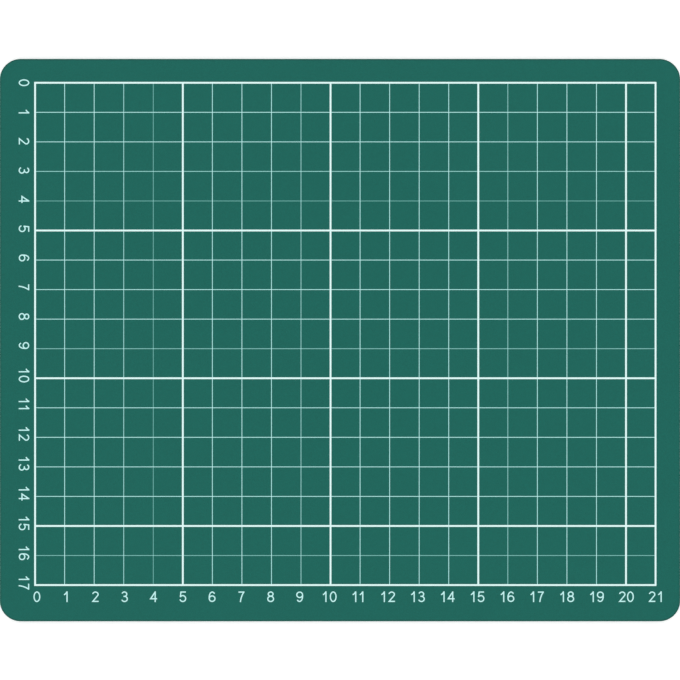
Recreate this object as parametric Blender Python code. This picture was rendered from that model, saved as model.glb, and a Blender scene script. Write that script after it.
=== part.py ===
"""Self-healing cutting mat, about 230 x 190 x 3 mm.

Three plies of PVC pressed into one sheet, and a centimetre grid screen-printed on the cutting face.
Metres. X runs along the scale at the bottom edge, Y along the one at the left edge, and Z out of the
cutting face. The origin is the centre of the underside.
"""

from math import radians

import bmesh
import bpy

# Printed grid. The margins run from the middle of a frame line to the edge of the sheet.
SQUARE = 0.010
COLUMNS = 21
ROWS = 17
BOLD_EVERY = 5
LEFT_MARGIN = 0.0120
RIGHT_MARGIN = 0.0084
TOP_MARGIN = 0.0081
BOTTOM_MARGIN = 0.0123
FINE_LINE = 0.00022
BOLD_LINE = 0.0006
INK_FILM = 0.00005
INK_CLEARANCE = 0.00005

# Sheet, from the table up
BOTTOM_PLY = 0.0008
CORE_PLY = 0.0008
TOP_PLY = 0.0008
PLY_CLEARANCE = 0.0003
CORNER_RADIUS = 0.0071
CORNER_SEGMENTS = 16
EDGE_ROUND = 0.0003
EDGE_SEGMENTS = 3
SHARP_ANGLE = radians(35)

# Worked out from the sizes above
MAT_LENGTH = LEFT_MARGIN + COLUMNS * SQUARE + RIGHT_MARGIN
MAT_WIDTH = TOP_MARGIN + ROWS * SQUARE + BOTTOM_MARGIN
CORE_BASE = BOTTOM_PLY + PLY_CLEARANCE
TOP_BASE = CORE_BASE + CORE_PLY + PLY_CLEARANCE


def clear_scene():
    for thing in list(bpy.data.objects):
        bpy.data.objects.remove(thing)


def plain_material(name, colour, roughness):
    """A non-metallic surface. The colour is linear red, green and blue."""
    material = bpy.data.materials.new(name)
    material.use_nodes = True
    surface = material.node_tree.nodes["Principled BSDF"]
    surface.inputs["Base Color"].default_value = (*colour, 1)
    surface.inputs["Roughness"].default_value = roughness
    surface.inputs["Metallic"].default_value = 0
    return material


def soft_pvc():
    return plain_material("soft_green_pvc", (0.018, 0.137, 0.109), 0.6)


def core_pvc():
    return plain_material("stiff_core_pvc", (0.055, 0.17, 0.135), 0.5)


def white_ink():
    return plain_material("white_ink", (0.78, 0.95, 0.92), 0.45)


def add_object(name, bm, material, parent, height):
    """Makes the finished mesh an object that stands height above its parent's origin."""
    mesh = bpy.data.meshes.new(name)
    bm.to_mesh(mesh)
    bm.free()
    mesh.shade_smooth()
    mesh.set_sharp_from_angle(angle=SHARP_ANGLE)
    mesh.materials.append(material)
    thing = bpy.data.objects.new(name, mesh)
    thing.parent = parent
    thing.location.z = height
    bpy.context.collection.objects.link(thing)
    return thing


def thicken(bm, thickness):
    """Turns flat faces at z = 0 into a closed solid that stands thickness above them."""
    raised = bmesh.ops.extrude_face_region(bm, geom=bm.faces[:])["geom"]
    top_verts = [item for item in raised if isinstance(item, bmesh.types.BMVert)]
    bmesh.ops.translate(bm, verts=top_verts, vec=(0, 0, thickness))
    bmesh.ops.recalc_face_normals(bm, faces=bm.faces[:])


def rounded_outline():
    """The mat's outline as one flat face: a rectangle whose corners are arcs."""
    bm = bmesh.new()
    bmesh.ops.create_grid(bm, x_segments=1, y_segments=1, size=0.5)
    bmesh.ops.scale(bm, verts=bm.verts[:], vec=(MAT_LENGTH, MAT_WIDTH, 1))
    bmesh.ops.bevel(
        bm,
        geom=bm.verts[:],
        offset=CORNER_RADIUS,
        segments=CORNER_SEGMENTS,
        profile=0.5,
        affect="VERTICES",
        material=-1,
    )
    return bm


def round_rim(bm, rim_height, wall):
    """Rounds the edges that run round the sheet at rim_height, by no more than half the wall."""
    rim = [
        edge
        for edge in bm.edges
        if all(abs(vert.co.z - rim_height) < wall / 4 for vert in edge.verts)
    ]
    bmesh.ops.bevel(
        bm,
        geom=rim,
        offset=min(EDGE_ROUND, wall / 2),
        segments=EDGE_SEGMENTS,
        profile=0.5,
        affect="EDGES",
        material=-1,
    )


def add_bottom_ply(mat):
    bm = rounded_outline()
    thicken(bm, BOTTOM_PLY)
    round_rim(bm, 0, BOTTOM_PLY)
    return add_object("bottom_ply", bm, soft_pvc(), mat, 0)


def add_core_ply(mat):
    bm = rounded_outline()
    thicken(bm, CORE_PLY)
    return add_object("core_ply", bm, core_pvc(), mat, CORE_BASE)


def add_top_ply(mat):
    bm = rounded_outline()
    thicken(bm, TOP_PLY)
    round_rim(bm, TOP_PLY, TOP_PLY)
    return add_object("top_ply", bm, soft_pvc(), mat, TOP_BASE)


def line_sides(squares, first):
    """Where both sides of each line lie, in order, on an axis with the first line's middle at first.

    Every fifth line is bold, and so is the last one, which closes the frame.
    """
    sides = []
    for index in range(squares + 1):
        bold = index % BOLD_EVERY == 0 or index == squares
        half = (BOLD_LINE if bold else FINE_LINE) / 2
        middle = first + index * SQUARE
        sides += [middle - half, middle + half]
    return sides


def grid_lattice():
    """All the lines as one flat mesh: strips of faces along the lines, open in every square."""
    across = line_sides(COLUMNS, LEFT_MARGIN - MAT_LENGTH / 2)
    # The rows count from the top edge down, so their sides are turned over to run upwards.
    up = [-side for side in reversed(line_sides(ROWS, TOP_MARGIN - MAT_WIDTH / 2))]
    faces_across = len(across) - 1
    bm = bmesh.new()
    bmesh.ops.create_grid(bm, x_segments=faces_across, y_segments=len(up) - 1, size=1)
    for index, vert in enumerate(bm.verts):
        row, column = divmod(index, len(across))
        vert.co = (across[column], up[row], 0)
    open_squares = []
    for index, face in enumerate(bm.faces):
        row, column = divmod(index, faces_across)
        if row % 2 and column % 2:
            open_squares.append(face)
    bmesh.ops.delete(bm, geom=open_squares, context="FACES")
    return bm


def add_grid_print(top_ply):
    bm = grid_lattice()
    thicken(bm, INK_FILM)
    return add_object("grid_print", bm, white_ink(), top_ply, TOP_PLY + INK_CLEARANCE)


def main():
    clear_scene()
    mat = bpy.data.objects.new("cutting_mat", None)
    bpy.context.collection.objects.link(mat)
    add_bottom_ply(mat)
    add_core_ply(mat)
    top_ply = add_top_ply(mat)
    add_grid_print(top_ply)


main()
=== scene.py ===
"""Looks of a self-healing cutting mat: three PVC plies pressed into one sheet, with a centimetre grid and
two number scales screen-printed on the cutting face. Metres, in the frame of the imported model."""

from math import cos, hypot, pi, radians, sin

import bmesh
import bpy
from mathutils import Matrix, Vector


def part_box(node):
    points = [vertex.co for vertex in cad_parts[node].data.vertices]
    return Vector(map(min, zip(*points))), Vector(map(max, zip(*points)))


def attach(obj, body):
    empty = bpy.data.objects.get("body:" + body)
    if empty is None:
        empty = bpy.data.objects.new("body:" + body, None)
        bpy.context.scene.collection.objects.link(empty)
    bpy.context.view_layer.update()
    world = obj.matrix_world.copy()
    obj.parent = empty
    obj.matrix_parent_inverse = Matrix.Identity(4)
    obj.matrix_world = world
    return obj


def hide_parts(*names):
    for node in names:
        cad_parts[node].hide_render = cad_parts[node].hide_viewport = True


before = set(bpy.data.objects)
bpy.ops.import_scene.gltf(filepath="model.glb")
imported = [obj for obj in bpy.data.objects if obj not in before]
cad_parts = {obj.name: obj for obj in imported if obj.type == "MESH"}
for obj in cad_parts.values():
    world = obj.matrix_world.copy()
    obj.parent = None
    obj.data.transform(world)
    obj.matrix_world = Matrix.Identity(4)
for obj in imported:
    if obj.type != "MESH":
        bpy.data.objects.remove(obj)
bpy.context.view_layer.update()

# Bottom ply: soft PVC, calendered to an even thickness and pressed to the core by heat. It grips the table.
# A steel-rule die cuts all three plies at once, so the corners are round and the cut edge is smooth, with
# faint upright scores from the rule.

CORNER_RADIUS = 0.0071
CORNER_SEGMENTS = 24
RIM_FADE = 0.0004
RIM_SHADE_LAYER = "rim_painted_shade"
SAME_HEIGHT = 1e-6
SHARP_ANGLE = radians(40)

# How upright the normal is at least on a level face, and on one that belongs to a side of the sheet and not
# to its cut edge
LEVEL_NORMAL = 0.999
FACE_NORMAL = 0.4

# How far a rim is rounded, and in how many steps
OUTER_RIM = (0.0003, 4)
SEAM_RIM = (0.00004, 1)

# The sheets and the grid have flat maps of their own, which keep their patterns sharp where they are baked
# to pictures. The cut edge is wider on a map than on the mat.
MAP_NAME = "OFBake"
UP = 1
DOWN = -1
EDGE_ON_MAP = 0.004
MAP_MARGIN = 0.0005


def seam_height(below, above):
    """Where two neighbouring plies meet: halfway across the clearance between their solids."""
    return (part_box(below)[1].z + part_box(above)[0].z) / 2


def outline(node):
    """The outline of a ply as one flat face: a rectangle of its solid's size, whose corners are arcs."""
    corner, far_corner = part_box(node)
    size = far_corner - corner
    bm = bmesh.new()
    bmesh.ops.create_grid(bm, x_segments=1, y_segments=1, size=0.5)
    bmesh.ops.scale(bm, verts=bm.verts[:], vec=(size.x, size.y, 1))
    bmesh.ops.bevel(
        bm,
        geom=bm.verts[:],
        offset=CORNER_RADIUS,
        segments=CORNER_SEGMENTS,
        profile=0.5,
        affect="VERTICES",
        material=-1,
    )
    return bm


def raise_faces(bm, low, high):
    """Turns flat faces at z = 0 into a closed solid from low to high."""
    raised = bmesh.ops.extrude_face_region(bm, geom=bm.faces[:])["geom"]
    upper = [item for item in raised if isinstance(item, bmesh.types.BMVert)]
    bmesh.ops.translate(bm, verts=bm.verts[:], vec=(0, 0, low))
    bmesh.ops.translate(bm, verts=upper, vec=(0, 0, high - low))
    bmesh.ops.recalc_face_normals(bm, faces=bm.faces[:])


def soften_rim(bm, height, offset, segments):
    """Rounds the edges that run round the sheet at one height."""
    rim = [
        edge
        for edge in bm.edges
        if all(abs(vert.co.z - height) < SAME_HEIGHT for vert in edge.verts)
    ]
    bmesh.ops.bevel(
        bm, geom=rim, offset=offset, segments=segments, profile=0.5, affect="EDGES", material=-1
    )


def mark_rim(bm):
    """Insets the level faces, and stores where the rim's painted shade lies: 1 at its rim, fading to 0."""
    level = [face for face in bm.faces if abs(face.normal.z) > LEVEL_NORMAL]
    bmesh.ops.inset_individual(bm, faces=level, thickness=RIM_FADE, use_even_offset=True)
    # This layer holds the rim's painted shade.
    shade_layer = bm.verts.layers.float.new(RIM_SHADE_LAYER)
    for vert in bm.verts:
        vert[shade_layer] = 0 if any(face in level for face in vert.link_faces) else 1


def fold_out(bm, side):
    """Maps a sheet flat: the side that is seen, UP or DOWN, with the cut edge folded out round it.

    The other side lies one map further on, where it reads the same finish and takes no room.
    """
    flat = bm.loops.layers.uv.new(MAP_NAME)
    half = [max(vert.co[axis] for vert in bm.verts) for axis in (0, 1)]
    whole = [2 * (part + EDGE_ON_MAP + MAP_MARGIN) for part in half]
    limits = [part - CORNER_RADIUS for part in half]
    heights = [vert.co.z * side for vert in bm.verts]
    thickness = max(heights) - min(heights)
    for face in bm.faces:
        maps_on = 1 if face.normal.z * side < -FACE_NORMAL else 0
        for loop in face.loops:
            spot = loop.vert.co
            # The edge folds away from the middle of its corner's arc, or square to a straight side.
            middle = Vector([max(-limit, min(limit, part)) for part, limit in zip(spot, limits)])
            depth = (max(heights) - spot.z * side) / thickness
            fold = (spot.xy - middle).normalized() * depth * EDGE_ON_MAP
            x, y = spot.xy if maps_on else spot.xy + fold
            loop[flat].uv = (0.5 + side * x / whole[0] + maps_on, 0.5 + y / whole[1])


def new_piece(name, bm, *materials):
    """A piece at the origin, with its place in its mesh."""
    mesh = bpy.data.meshes.new(name)
    bm.to_mesh(mesh)
    bm.free()
    for material in materials:
        mesh.materials.append(material)
    piece = bpy.data.objects.new(name, mesh)
    bpy.context.collection.objects.link(piece)
    return piece


def ply_sheet(name, node, span, rims, seen_side, face_material, cut_material):
    """A ply from the low to the high end of its span. Each rim is given by its rounding and its steps."""
    bm = outline(node)
    raise_faces(bm, *span)
    for height, (offset, segments) in zip(span, rims):
        soften_rim(bm, height, offset, segments)
    mark_rim(bm)
    fold_out(bm, seen_side)
    for face in bm.faces:
        face.material_index = 0 if abs(face.normal.z) > FACE_NORMAL else 1
        face.smooth = True
    sheet = new_piece(name, bm, face_material, cut_material)
    sheet.data.set_sharp_from_angle(angle=SHARP_ANGLE)
    return sheet


# Noise seldom leaves this span.
NOISE_LOW = 0.3
NOISE_HIGH = 0.7


class Wiring:
    """Adds nodes to one material or group and joins their sockets."""

    def __init__(self, tree):
        self.tree = tree

    def put(self, socket, value):
        """Joins a socket to another one, or writes a plain value in it."""
        if isinstance(value, bpy.types.NodeSocket):
            self.tree.links.new(value, socket)
        else:
            socket.default_value = value

    def add(self, kind, inputs=None, **settings):
        node = self.tree.nodes.new(kind)
        for key, value in settings.items():
            setattr(node, key, value)
        for key, value in (inputs or {}).items():
            self.put(node.inputs[key], value)
        return node

    def place(self):
        return self.add("ShaderNodeTexCoord").outputs["Object"]

    def calc(self, operation, first, second=0.0):
        return self.add("ShaderNodeMath", {0: first, 1: second}, operation=operation).outputs[0]

    def noise(self, place, size, detail=2.0, roughness=0.5):
        """Noise from 0 to 1 whose features are about size metres across."""
        scale = self.calc("DIVIDE", 1.0, size)
        inputs = {"Vector": place, "Scale": scale, "Detail": detail, "Roughness": roughness}
        return self.add("ShaderNodeTexNoise", inputs).outputs["Fac"]

    def between(self, value, low, high, lowest=0.0, highest=1.0):
        """A value that runs from lowest to highest, spread over low to high and held there."""
        inputs = {"Value": value, "From Min": lowest, "From Max": highest, "To Min": low, "To Max": high}
        return self.add("ShaderNodeMapRange", inputs).outputs["Result"]

    def full_range(self, noise):
        """Noise spread from the span that it mostly keeps to over the whole of 0 to 1."""
        return self.between(noise, 0, 1, NOISE_LOW, NOISE_HIGH)

    def shaded(self, colour, share, spread):
        """A colour, darker by its spread where the share is 0 and paler by it where the share is 1."""
        strength = self.between(share, 1 - spread, 1 + spread)
        return self.add("ShaderNodeHueSaturation", {"Color": colour, "Value": strength}).outputs["Color"]

    def mix(self, share, first, second):
        """A colour between two others. Its sockets share their names with others, so they go by place."""
        inputs = {"Factor": share, 6: first, 7: second}
        return self.add("ShaderNodeMix", inputs, data_type="RGBA").outputs[2]

    def bump(self, height, depth):
        """The normal of a relief whose height runs from 0 to 1 over a depth in metres."""
        return self.add("ShaderNodeBump", {"Height": height, "Distance": depth}).outputs["Normal"]


COLOUR = "NodeSocketColor"
NUMBER = "NodeSocketFloat"
ARROW = "NodeSocketVector"
FINISH = (
    ("Colour", COLOUR, "Base Color"),
    ("Roughness", NUMBER, "Roughness"),
    ("Normal", ARROW, "Normal"),
)


def finish_group(name, inputs):
    """An empty node group for a finish, with its wiring, what it is given and what it puts out."""
    group = bpy.data.node_groups.new(name, "ShaderNodeTree")
    for label, kind in inputs.items():
        group.interface.new_socket(label, in_out="INPUT", socket_type=kind)
    for label, kind, _ in FINISH:
        group.interface.new_socket(label, in_out="OUTPUT", socket_type=kind)
    wiring = Wiring(group)
    return wiring, wiring.add("NodeGroupInput").outputs, wiring.add("NodeGroupOutput").inputs


def surface_material(name, roughness, shine):
    """A material with one Principled shader, and the wiring to build on it."""
    material = bpy.data.materials.new(name)
    material.use_nodes = True
    shader = material.node_tree.nodes["Principled BSDF"]
    shader.inputs["Roughness"].default_value = roughness
    shader.inputs["Specular IOR Level"].default_value = shine
    return material, Wiring(material.node_tree), shader


def finished_material(name, group, shine, values):
    """A material that takes its finish from a group with the values of this one surface."""
    material, wiring, shader = surface_material(name, values["Roughness"], shine)
    finish = wiring.add("ShaderNodeGroup", values, node_tree=group)
    for label, _, socket in FINISH:
        wiring.put(shader.inputs[socket], finish.outputs[label])
    return material


# The rolls press a fine matt grain into soft sheet. Its pits are painted darker, as painted shade where less
# light falls in them, and the sheet is painted a little darker along its rim, as painted shade where its
# rounded rim turns from the light.
GRAIN_SHADE_IN_TONE = 0.8
MOTTLE_SIZE = 0.012
FACE_SHADE_AND_TONES = 0.17
GLOSS_PATCH_SIZE = 0.045
GLOSS_PATCHES = 0.05


def calendered_group():
    colours = {"Body": COLOUR, "Rim Shade": COLOUR}
    numbers = {"Roughness": NUMBER, "Grain Size": NUMBER, "Grain Depth": NUMBER}
    wiring, given, result = finish_group("calendered_face", colours | numbers)
    place = wiring.place()
    grain = wiring.noise(place, given["Grain Size"], roughness=0.6)
    mottle = wiring.noise(place, MOTTLE_SIZE, detail=3.0, roughness=0.6)
    # Painted shade: the grain's pits are darker, and the mottle adds random tone.
    pit_shade = wiring.calc("MULTIPLY", wiring.full_range(grain), GRAIN_SHADE_IN_TONE)
    shade_and_tone = wiring.calc("ADD", pit_shade, wiring.calc("MULTIPLY", mottle, 1 - GRAIN_SHADE_IN_TONE))
    # Painted shade along the rounded rim, where the sheet's stored layer is 1.
    rim = wiring.add("ShaderNodeAttribute", attribute_name=RIM_SHADE_LAYER).outputs["Fac"]
    colour = wiring.mix(rim, given["Body"], given["Rim Shade"])
    gloss = wiring.between(wiring.noise(place, GLOSS_PATCH_SIZE), -GLOSS_PATCHES, GLOSS_PATCHES)
    wiring.put(result["Colour"], wiring.shaded(colour, shade_and_tone, FACE_SHADE_AND_TONES))
    wiring.put(result["Roughness"], wiring.calc("ADD", given["Roughness"], gloss))
    wiring.put(result["Normal"], wiring.bump(grain, given["Grain Depth"]))
    return wiring.tree


# The die leaves scores along its stroke, long and thin, which come and go round the edge. Their low parts
# are painted darker, as painted shade, over slow patches of random tone.
SCORE_SPACING = 0.00016
SCORE_STRETCH = 16
SCORE_DEPTH = 0.00003
SCORE_SHADE_SIZE = 0.003
SHADE_FLOOR = 0.1
SHADE_TOP = 0.4
CUT_SHADE_AND_TONES = 0.16
CUT_GLOSS = 0.1


def die_cut_group():
    wiring, given, result = finish_group("die_cut_edge", {"Body": COLOUR, "Roughness": NUMBER})
    place = wiring.place()
    upright = wiring.add("ShaderNodeMapping", {"Vector": place, "Scale": (1, 1, 1 / SCORE_STRETCH)})
    scores = wiring.noise(upright.outputs["Vector"], SCORE_SPACING, detail=3.0, roughness=0.65)
    # Painted shade: the scores' low parts are darker, over slow patches of random tone.
    shade = wiring.calc("MULTIPLY", scores, wiring.noise(place, SCORE_SHADE_SIZE))
    shade_and_tone = wiring.between(shade, 0, 1, SHADE_FLOOR, SHADE_TOP)
    gloss = wiring.between(scores, -CUT_GLOSS, CUT_GLOSS)
    wiring.put(result["Colour"], wiring.shaded(given["Body"], shade_and_tone, CUT_SHADE_AND_TONES))
    wiring.put(result["Roughness"], wiring.calc("ADD", given["Roughness"], gloss))
    wiring.put(result["Normal"], wiring.bump(scores, SCORE_DEPTH))
    return wiring.tree


CALENDERED = calendered_group()
DIE_CUT = die_cut_group()
SOFT_GREEN = (0.003, 0.113, 0.088, 1)
# The rim's green is painted shade, darker where the rounded rim turns from the light.
SOFT_RIM_SHADE_GREEN = (0.002, 0.085, 0.066, 1)
SOFT_CUT_GREEN = (0.006, 0.105, 0.082, 1)
SOFT_ROUGHNESS = 0.52
SOFT_CUT_ROUGHNESS = 0.45
PVC_SHINE = 0.16
UNDERSIDE_GRAIN_SIZE = 0.0007
UNDERSIDE_GRAIN_DEPTH = 0.00008


def soft_face(name, grain_size, grain_depth):
    return finished_material(
        name,
        CALENDERED,
        PVC_SHINE,
        {
            "Body": SOFT_GREEN,
            "Rim Shade": SOFT_RIM_SHADE_GREEN,
            "Roughness": SOFT_ROUGHNESS,
            "Grain Size": grain_size,
            "Grain Depth": grain_depth,
        },
    )


def cut_edge(name, colour, roughness):
    return finished_material(name, DIE_CUT, PVC_SHINE, {"Body": colour, "Roughness": roughness})


gripping_face = soft_face("soft_pvc_underside", UNDERSIDE_GRAIN_SIZE, UNDERSIDE_GRAIN_DEPTH)
soft_cut = cut_edge("soft_pvc_cut_edge", SOFT_CUT_GREEN, SOFT_CUT_ROUGHNESS)
table_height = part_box("bottom_ply")[0].z
core_bottom = seam_height("bottom_ply", "core_ply")

underside = ply_sheet(
    "underside_sheet",
    "bottom_ply",
    (table_height, core_bottom),
    (OUTER_RIM, SEAM_RIM),
    DOWN,
    gripping_face,
    soft_cut,
)
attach(underside, "root")
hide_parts("bottom_ply")

# Core ply: a stiffer, paler sheet between the soft ones that stops the blade and keeps the mat flat.
# Only its cut edge shows, a thin band round the middle of the mat's side.

CORE_GREEN = (0.045, 0.19, 0.15, 1)
CORE_ROUGHNESS = 0.4

core_cut = cut_edge("core_pvc_cut_edge", CORE_GREEN, CORE_ROUGHNESS)
core_top = seam_height("core_ply", "top_ply")
core = ply_sheet(
    "core_sheet", "core_ply", (core_bottom, core_top), (SEAM_RIM, SEAM_RIM), UP, core_cut, core_cut
)
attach(core, "root")
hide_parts("core_ply")

# Top ply: the same soft PVC as the bottom one, with the cutting face upwards. Its grain is finer than the
# underside's, it closes over a cut, and the die leaves its upper rim slightly rounded.

GRAIN_SIZE = 0.00028
GRAIN_DEPTH = 0.00004

cutting_face = soft_face("soft_pvc_cutting_face", GRAIN_SIZE, GRAIN_DEPTH)
face_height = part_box("top_ply")[1].z
cutting_sheet = ply_sheet(
    "cutting_sheet", "top_ply", (core_top, face_height), (SEAM_RIM, OUTER_RIM), UP, cutting_face, soft_cut
)
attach(cutting_sheet, "root")
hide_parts("top_ply")

# Grid print: white ink pushed through a screen in one pass, keyed into the top ply. Fine lines mark the
# centimetres, bold ones every fifth and the frame, and a few fine lines took less ink than the others.

SQUARE = 0.010
COLUMNS = 21
ROWS = 17
BOLD_EVERY = 5
FINE_LINE = 0.00022
BOLD_LINE = 0.0006
INK_FILM = 0.00002
INK_KEY = 0.000005
INK_LAYER = "ink_cover"

grid_low, grid_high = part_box("grid_print")
GRID_LEFT = grid_low.x + BOLD_LINE / 2
GRID_BOTTOM = grid_low.y + BOLD_LINE / 2
GRID_TOP = grid_high.y - BOLD_LINE / 2

# How full of ink a line is: 1 for a bold one and 0 for bare sheet. The thin lines have their own share.
FULL_COVER = 1.0
LEAN_COVER = 0.8
SCANT_COVER = 0.5
THIN_COLUMNS = {3: 0.69, 4: 0.48, 9: 0.64, 16: 0.6}
THIN_ROWS = {3: 0.65, 4: 0.47, 9: 0.58, 16: 0.55}


def is_bold(index, squares):
    return index % BOLD_EVERY == 0 or index == squares


def line_sides(squares, first):
    """Where both sides of each line lie, in order, with the first line's middle at first."""
    sides = []
    for index in range(squares + 1):
        half = (BOLD_LINE if is_bold(index, squares) else FINE_LINE) / 2
        sides += [first + index * SQUARE - half, first + index * SQUARE + half]
    return sides


def line_cover(index, squares, thin_lines):
    return FULL_COVER if is_bold(index, squares) else thin_lines.get(index, LEAN_COVER)


def raise_ink(bm):
    """Turns flat faces at z = 0 into a film that is keyed into the cutting face."""
    raise_faces(bm, face_height - INK_KEY, face_height + INK_FILM)


# Distances on the lattice's flat map count in squares, and all lines are equally wide there, wider than they
# are on the mat.
LINE_ON_MAP = 0.2
WALL_ON_MAP = 0.05


def along_map(side):
    """How far along the map a line's side lies, by its index."""
    return (side + 1) // 2 * LINE_ON_MAP + side // 2


def fit_to_map(bm, width, height):
    """Lays each wall beside its line and brings the map down to 1 by 1.

    The lower faces lie one map further on, where they read the upper ones' ink and take no room from them.
    """
    flat = bm.loops.layers.uv[MAP_NAME]
    for face in bm.faces:
        maps_on = 1 if face.normal.z < -LEVEL_NORMAL else 0
        for loop in face.loops:
            beside = WALL_ON_MAP if loop.vert.co.z < face_height else 0
            x, y = loop[flat].uv + face.normal.xy * beside
            x = (x + WALL_ON_MAP) / (width + 2 * WALL_ON_MAP)
            y = (y + WALL_ON_MAP) / (height + 2 * WALL_ON_MAP)
            loop[flat].uv = (x + maps_on, y)


def grid_lines():
    """The lattice of lines, with each line's cover stored on its faces."""
    across = line_sides(COLUMNS, GRID_LEFT)
    # The rows count from the top edge down, so their sides are turned over to run upwards.
    up = [-side for side in reversed(line_sides(ROWS, -GRID_TOP))]
    bm = bmesh.new()
    bmesh.ops.create_grid(bm, x_segments=len(across) - 1, y_segments=len(up) - 1, size=1)
    on_map = {}
    for index, vert in enumerate(bm.verts):
        row, column = divmod(index, len(across))
        vert.co = (across[column], up[row], 0)
        on_map[vert] = (along_map(column), along_map(row))
    cover = bm.faces.layers.float.new(INK_LAYER)
    flat = bm.loops.layers.uv.new(MAP_NAME)
    open_squares = []
    for index, face in enumerate(bm.faces):
        row, column = divmod(index, len(across) - 1)
        if row % 2 and column % 2:
            open_squares.append(face)
            continue
        along_y = 0 if column % 2 else line_cover(column // 2, COLUMNS, THIN_COLUMNS)
        along_x = 0 if row % 2 else line_cover(ROWS - row // 2, ROWS, THIN_ROWS)
        # Where two lines cross lies the ink of both.
        face[cover] = 1 - (1 - along_x) * (1 - along_y)
        for loop in face.loops:
            loop[flat].uv = on_map[loop.vert]
    bmesh.ops.delete(bm, geom=open_squares, context="FACES")
    raise_ink(bm)
    fit_to_map(bm, along_map(len(across) - 1), along_map(len(up) - 1))
    return bm


# The ink shows the green of the sheet where less of it lies, first in its thin spots and then all over.
FULL_INK = (0.755, 0.975, 0.955, 1)
LEAN_INK = (0.465, 0.88, 0.86, 1)
SCANT_INK = (0.165, 0.46, 0.42, 1)
INK_SHINE = 0.16
INK_ROUGHNESS = 0.42
INK_PATCH_SIZE = 0.0005
MESH_PITCH = 0.00016
MESH_SHARE = 0.4
INK_SPREAD = (0.93, 1.08)
INK_RELIEF = 0.00001


def mesh_marks(wiring, place):
    """Tiny soft dots that the weave of the screen leaves in the ink, from 0 between threads to 1."""
    parts = wiring.add("ShaderNodeSeparateXYZ", {"Vector": place}).outputs
    waves = [
        wiring.calc("SINE", wiring.calc("MULTIPLY", parts[axis], 2 * pi / MESH_PITCH))
        for axis in ("X", "Y")
    ]
    return wiring.between(wiring.calc("MULTIPLY", *waves), 0, 1, -1, 1)


def printed_ink():
    """Ink whose thickness varies a little, over the share of ink that each line or figure took."""
    material, wiring, shader = surface_material("white_print_ink", INK_ROUGHNESS, INK_SHINE)
    place = wiring.place()
    patches = wiring.full_range(wiring.noise(place, INK_PATCH_SIZE, detail=3.0, roughness=0.7))
    film = wiring.calc("MULTIPLY", patches, 1 - MESH_SHARE)
    dots = wiring.calc("MULTIPLY", mesh_marks(wiring, place), MESH_SHARE)
    thickness = wiring.calc("ADD", film, dots)
    cover = wiring.add("ShaderNodeAttribute", attribute_name=INK_LAYER).outputs["Fac"]
    laid = wiring.calc("MULTIPLY", cover, wiring.between(thickness, *INK_SPREAD))
    ramp = wiring.add("ShaderNodeValToRGB", {"Fac": laid})
    ramp.color_ramp.elements[0].color = SOFT_GREEN
    ramp.color_ramp.elements[1].color = FULL_INK
    ramp.color_ramp.elements.new(SCANT_COVER).color = SCANT_INK
    ramp.color_ramp.elements.new(LEAN_COVER).color = LEAN_INK
    wiring.put(shader.inputs["Base Color"], ramp.outputs["Color"])
    wiring.put(shader.inputs["Normal"], wiring.bump(thickness, INK_RELIEF))
    return material


print_ink = printed_ink()
grid = new_piece("grid_lines", grid_lines(), print_ink)
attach(grid, "root")
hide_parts("grid_print")

# Numerals: plain upright figures of the same ink, 0 to 21 along the bottom edge, and 0 to 17 down the
# left edge with their heads to the grid. Each is drawn as strokes of one pen on a field 100 units high,
# and the two ones of 11 are drawn closer together than other pairs.

FIGURE_HEIGHT = 0.00361
FIELD = 100
UNIT = FIGURE_HEIGHT / FIELD
PEN = 11.2
ADVANCE = 76.8
CLOSER_ONES = 10.8
CURVE_STEPS = 36
CLOSED_STROKE = 0.01
NUMERAL_COVER = 0.85


def bow(middle, radii, start, stop):
    """Points on an ellipse from one angle to another, in degrees anticlockwise from the right."""
    points = []
    for step in range(CURVE_STEPS + 1):
        turn = radians(start + (stop - start) * step / CURVE_STEPS)
        points.append((middle[0] + radii[0] * cos(turn), middle[1] + radii[1] * sin(turn)))
    return points


def ring(middle, radii):
    return bow(middle, radii, 0, 360)


def bend(first, pull, last):
    """Points on a curve from first to last that leans towards pull."""
    points = []
    for step in range(CURVE_STEPS + 1):
        part = step / CURVE_STEPS
        weights = ((1 - part) ** 2, 2 * part * (1 - part), part**2)
        points.append(
            tuple(sum(w * p[axis] for w, p in zip(weights, (first, pull, last))) for axis in (0, 1))
        )
    return points


SIX = [ring((37, 32), (27, 25.5)), bow((38.5, 46), (28.5, 48), 42, 180) + [(10, 34)]]
SIX_WIDTH = 73
NINE = [[(SIX_WIDTH - x, FIELD - y) for x, y in stroke] for stroke in SIX]
FIGURES = {
    0: [ring((38, 50), (26.5, 44.5))],
    1: [[(46.5, 0), (46.5, 100)], bend((18.5, 69), (34.5, 75), (45.5, 97))],
    2: [bow((38.5, 72), (25, 22), 170, -32) + [(14.5, 6.5), (68.5, 6.5)]],
    3: [
        bow((36.5, 74), (22, 20.5), 163, -90),
        bow((37.5, 29.5), (26, 24), 90, -163),
        [(28, 53.5), (38, 53.5)],
    ],
    4: [[(51, 0), (51, 100)], [(52, 96), (8.5, 31), (69, 31)]],
    5: [[(65, 94), (18.5, 94), (13, 46)], bow((36, 33), (27, 27.5), 145, -165)],
    6: SIX,
    7: [[(10, 93.5), (66, 93.5)], bend((61, 94), (34, 55), (28, 0))],
    8: [ring((38, 75), (22.5, 19.5)), ring((38, 30), (27, 24.5))],
    9: NINE,
}


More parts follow.
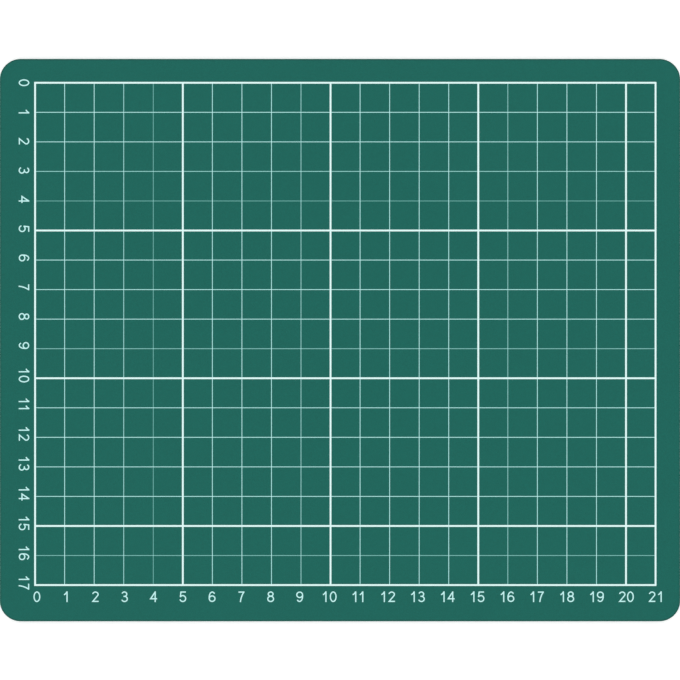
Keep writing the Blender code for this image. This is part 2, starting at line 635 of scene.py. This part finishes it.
def pen_sides(points, closed):
    """The two outlines of a stroke of the pen through the points, with mitred turns."""
    left, right = [], []
    last = len(points) - 1
    for index, point in enumerate(points):
        here = Vector(point)
        before = Vector(points[index - 1]) if index or closed else None
        after = Vector(points[(index + 1) % len(points)]) if index < last or closed else None
        coming = (here - before).normalized() if before else (after - here).normalized()
        going = (after - here).normalized() if after else coming
        across = Vector((-(coming + going).y, (coming + going).x)).normalized()
        reach = PEN / 2 / across.dot(Vector((-coming.y, coming.x)))
        left.append(here + across * reach)
        right.append(here - across * reach)
    return left, right


def pen_stroke(points):
    """One pen stroke as a closed film of ink, at the origin of its figure."""
    closed = hypot(points[0][0] - points[-1][0], points[0][1] - points[-1][1]) < CLOSED_STROKE
    if closed:
        points = points[:-1]
    bm = bmesh.new()
    edges = []
    for side in pen_sides(points, closed):
        verts = [bm.verts.new((spot.x * UNIT, spot.y * UNIT, 0)) for spot in side]
        if closed:
            edges.append(bm.edges.new((verts[-1], verts[0])))
        edges += [bm.edges.new(pair) for pair in zip(verts, verts[1:])]
    bmesh.ops.bridge_loops(bm, edges=edges)
    raise_ink(bm)
    return new_piece("stroke", bm)


def figure_mesh(strokes):
    """A figure's strokes joined into one closed film."""
    first, *others = [pen_stroke(points) for points in strokes]
    for other in others:
        join = first.modifiers.new("join", "BOOLEAN")
        join.operation = "UNION"
        join.solver = "EXACT"
        join.object = other
    depsgraph = bpy.context.evaluated_depsgraph_get()
    mesh = bpy.data.meshes.new_from_object(first.evaluated_get(depsgraph))
    for stroke in (first, *others):
        bpy.data.objects.remove(stroke)
    return mesh


def number_figures(number):
    """Each figure of a number with the matrix that sets the number's middle at the origin."""
    figures = [int(letter) for letter in str(number)]
    kerning = CLOSER_ONES if number == 11 else 0
    width = ADVANCE * len(figures) - kerning
    for index, figure in enumerate(figures):
        left = index * (ADVANCE - kerning) - width / 2
        yield figure, Matrix.Translation((left * UNIT, -FIGURE_HEIGHT / 2, 0))


def print_numerals(name, places, turn):
    """One scale as a single film: number by number, with its middle at each place."""
    bm = bmesh.new()
    for number, (x, y) in enumerate(places):
        setting = Matrix.Translation((x, y, 0)) @ Matrix.Rotation(turn, 4, "Z")
        for figure, shift in number_figures(number):
            copy = figure_meshes[figure].copy()
            copy.transform(setting @ shift)
            bm.from_mesh(copy)
            bpy.data.meshes.remove(copy)
    cover = bm.faces.layers.float.new(INK_LAYER)
    for face in bm.faces:
        face[cover] = NUMERAL_COVER
    numerals = new_piece(name, bm, print_ink)
    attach(numerals, "root")


# Neither scale follows the lines quite: the numbers stand closer together than a centimetre up to 12, and
# wider after it.
CLOSE_STEP = 0.00989
WIDE_STEP = 0.0101
LAST_CLOSE = 12
BELOW_GRID = 0.00395
BESIDE_GRID = 0.00375
NOUGHT_SHIFT = 0.00063


def scale_distance(number):
    """From the middle of the nought to the middle of a number."""
    return CLOSE_STEP * min(number, LAST_CLOSE) + WIDE_STEP * max(number - LAST_CLOSE, 0)


bottom_places = [
    (GRID_LEFT + NOUGHT_SHIFT + scale_distance(number), GRID_BOTTOM - BELOW_GRID)
    for number in range(COLUMNS + 1)
]
left_places = [
    (GRID_LEFT - BESIDE_GRID, GRID_TOP - scale_distance(number)) for number in range(ROWS + 1)
]
figure_meshes = {figure: figure_mesh(strokes) for figure, strokes in FIGURES.items()}
print_numerals("bottom_scale_numerals", bottom_places, 0)
print_numerals("left_scale_numerals", left_places, -pi / 2)

# Floor: plain white, seamless with the background, with the mat's own shadow left on it. It lies a hair
# under the mat, so that the two faces don't share a place.

FLOOR_REACH = 3.0
FLOOR_DROP = 0.00005
FLOOR_WHITE = (0.88, 0.88, 0.88, 1)
FLOOR_ROUGHNESS = 0.9
SEEN_GLOW = 0.36


def what_is_seen(wiring):
    """1 on what the camera sees straight, mirrored or through glass, and 0 on what only lights the mat."""
    path = wiring.add("ShaderNodeLightPath").outputs
    straight_or_mirrored = wiring.calc("MAXIMUM", path["Is Camera Ray"], path["Is Glossy Ray"])
    return wiring.calc("MAXIMUM", straight_or_mirrored, path["Is Transmission Ray"])


floor_bm = bmesh.new()
bmesh.ops.create_grid(floor_bm, x_segments=1, y_segments=1, size=FLOOR_REACH)
bmesh.ops.translate(floor_bm, verts=floor_bm.verts[:], vec=(0, 0, -FLOOR_DROP))
floor_material, floor_wiring, floor_shader = surface_material("floor_white", FLOOR_ROUGHNESS, 0.0)
floor_shader.inputs["Base Color"].default_value = FLOOR_WHITE
floor_shader.inputs["Emission Color"].default_value = (1, 1, 1, 1)
glow = floor_wiring.calc("MULTIPLY", what_is_seen(floor_wiring), SEEN_GLOW)
floor_wiring.put(floor_shader.inputs["Emission Strength"], glow)
floor = new_piece("floor", floor_bm, floor_material)

# Light: a plain even studio, from four broad lamps set round the mat and a dim white surround.

SURROUND = 0.35
LAMP_SHARE = 0.65
LAMP_TILT = radians(38)
LAMP_SPREAD = radians(50)
LAMPS = 4
FIRST_LAMP_TURN = radians(45)

world = bpy.data.worlds.new("surround")
bpy.context.scene.world = world
world.use_nodes = True
world_wiring = Wiring(world.node_tree)
world_wiring.tree.nodes.clear()
strength = world_wiring.between(what_is_seen(world_wiring), SURROUND, 1.0)
background = world_wiring.add("ShaderNodeBackground", {"Color": (1, 1, 1, 1), "Strength": strength})
world_wiring.add("ShaderNodeOutputWorld", {"Surface": background.outputs["Background"]})

for number in range(LAMPS):
    lamp_data = bpy.data.lights.new("lamp", "SUN")
    lamp_data.energy = LAMP_SHARE * pi / LAMPS / cos(LAMP_TILT)
    lamp_data.angle = LAMP_SPREAD
    lamp = bpy.data.objects.new("lamp", lamp_data)
    lamp.rotation_euler = (LAMP_TILT, 0, FIRST_LAMP_TURN + number * 2 * pi / LAMPS)
    bpy.context.collection.objects.link(lamp)

# Camera: straight down on the mat, a hair above its middle. The mat fills the picture from side to side.

VIEW_WIDTH = 0.23015
VIEW_RISE = 0.00004
LENS = 200.0
SENSOR = 36.0
NEAREST_SEEN = 0.01
FARTHEST_SEEN = 20.0

camera_data = bpy.data.cameras.new("camera")
camera_data.lens = LENS
camera_data.sensor_width = SENSOR
camera_data.clip_start = NEAREST_SEEN
camera_data.clip_end = FARTHEST_SEEN
camera = bpy.data.objects.new("camera", camera_data)
camera.location = (0, VIEW_RISE, face_height + VIEW_WIDTH * LENS / SENSOR)
bpy.context.collection.objects.link(camera)
bpy.context.scene.camera = camera
bpy.context.scene.view_settings.view_transform = "Standard"
